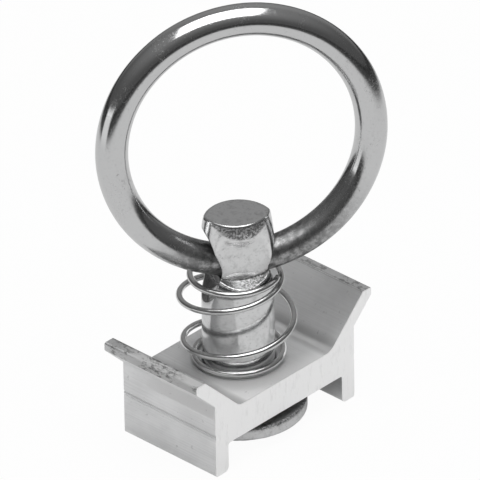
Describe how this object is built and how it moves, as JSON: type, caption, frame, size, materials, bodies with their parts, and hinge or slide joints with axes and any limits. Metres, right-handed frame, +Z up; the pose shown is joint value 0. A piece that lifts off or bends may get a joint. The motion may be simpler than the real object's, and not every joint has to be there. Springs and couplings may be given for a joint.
{
  "type": "lashing ring fitting",
  "caption": "Lashing ring for floor track: the ring swings in the eye of a stud whose foot locks under the track, held by a sprung slider.",
  "frame": {"origin": "centre of the underside of the stud's foot, on the stud's axis", "axes": "+Z up the stud's axis towards the ring, X along the track from leg to leg, Y across the track"},
  "size_m": [0.0364, 0.0244, 0.0632],
  "materials": {
    "plated_steel": "forged and bright zinc plated",
    "extruded_aluminium": "mill finish extrusion with sawn ends",
    "bright_wire": "drawn, welded and bright plated",
    "spring_wire": "bright drawn spring wire"
  },
  "bodies": {
    "stud": {"stud": "plated_steel"},
    "ring": {"ring": "bright_wire"},
    "spring": {"spring": "spring_wire"},
    "slider": {"slider": "extruded_aluminium"}
  },
  "joints": [
    {"name": "ring_swing", "type": "hinge", "parent": "stud", "child": "ring", "pos_m": [0, 0, 0.0236], "axis": [0.8358, -0.549, 0], "range_deg": [-86, 94]},
    {"name": "slider_turn", "type": "hinge", "parent": "stud", "child": "spring", "pos_m": [0, 0, 0], "axis": [0, 0, 1], "continuous": true},
    {"name": "slider_lift", "type": "slide", "parent": "spring", "child": "slider", "axis": [0, 0, 1], "range_m": [0, 0.0065], "stiffness_N_per_m": 800, "springref_m": -0.01, "deforming": ["spring"]}
  ]
}
